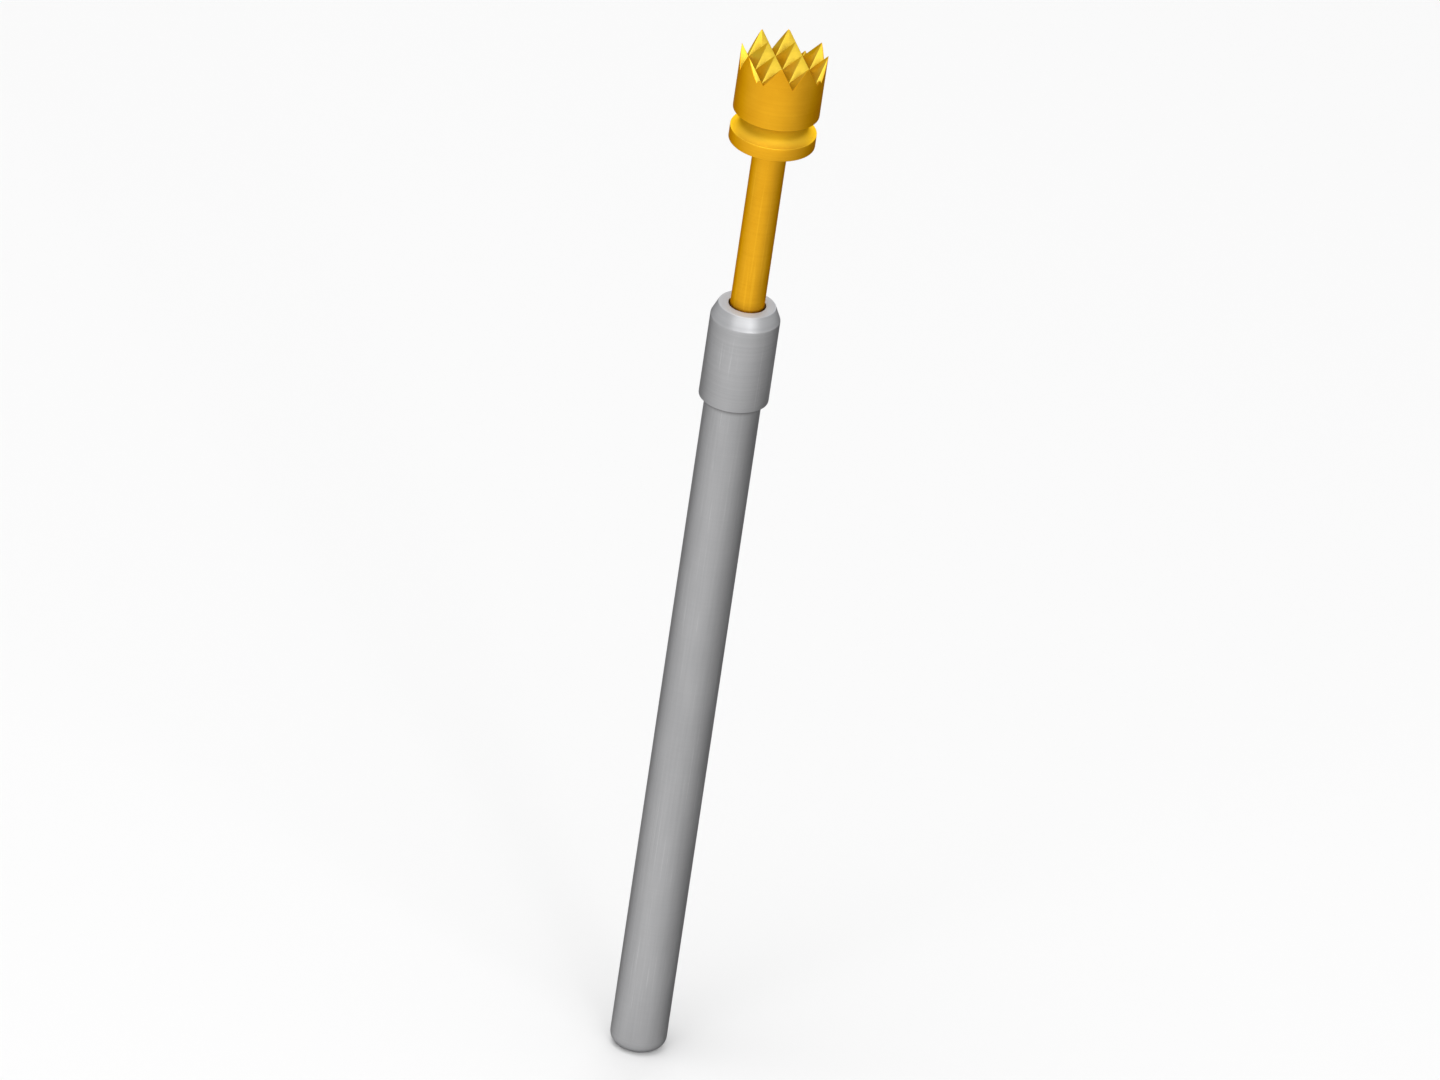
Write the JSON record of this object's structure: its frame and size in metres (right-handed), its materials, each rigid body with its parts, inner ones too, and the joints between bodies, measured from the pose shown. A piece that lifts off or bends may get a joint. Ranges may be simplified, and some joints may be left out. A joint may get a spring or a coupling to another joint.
{
  "type": "spring-loaded test probe",
  "caption": "Slim spring-loaded test probe: a grey collared barrel guides a gold plunger whose round head ends in a waffle of sharp points that presses on a contact pad.",
  "frame": {"origin": "Centre of the collar's underside, where the barrel meets the collar and the probe seats.", "axes": "+Z runs along the probe to its points. X and Y run along the two directions of the waffle cuts."},
  "size_m": [0.002, 0.002, 0.0271],
  "materials": {
    "barrel_metal": "bare nickel silver, fine turned satin",
    "gold_plating": "gold plated over turned metal, smooth satin",
    "spring_steel": "drawn stainless wire"
  },
  "bodies": {
    "barrel": {"barrel": "barrel_metal", "spring": "spring_steel"},
    "plunger": {"plunger": "gold_plating"}
  },
  "joints": [
    {"name": "plunger_press", "type": "slide", "parent": "barrel", "child": "plunger", "axis": [0, 0, -1], "range_m": [0, 0.0043], "stiffness_N_per_m": 290, "springref_m": -0.0017, "deforming": ["spring"]}
  ]
}
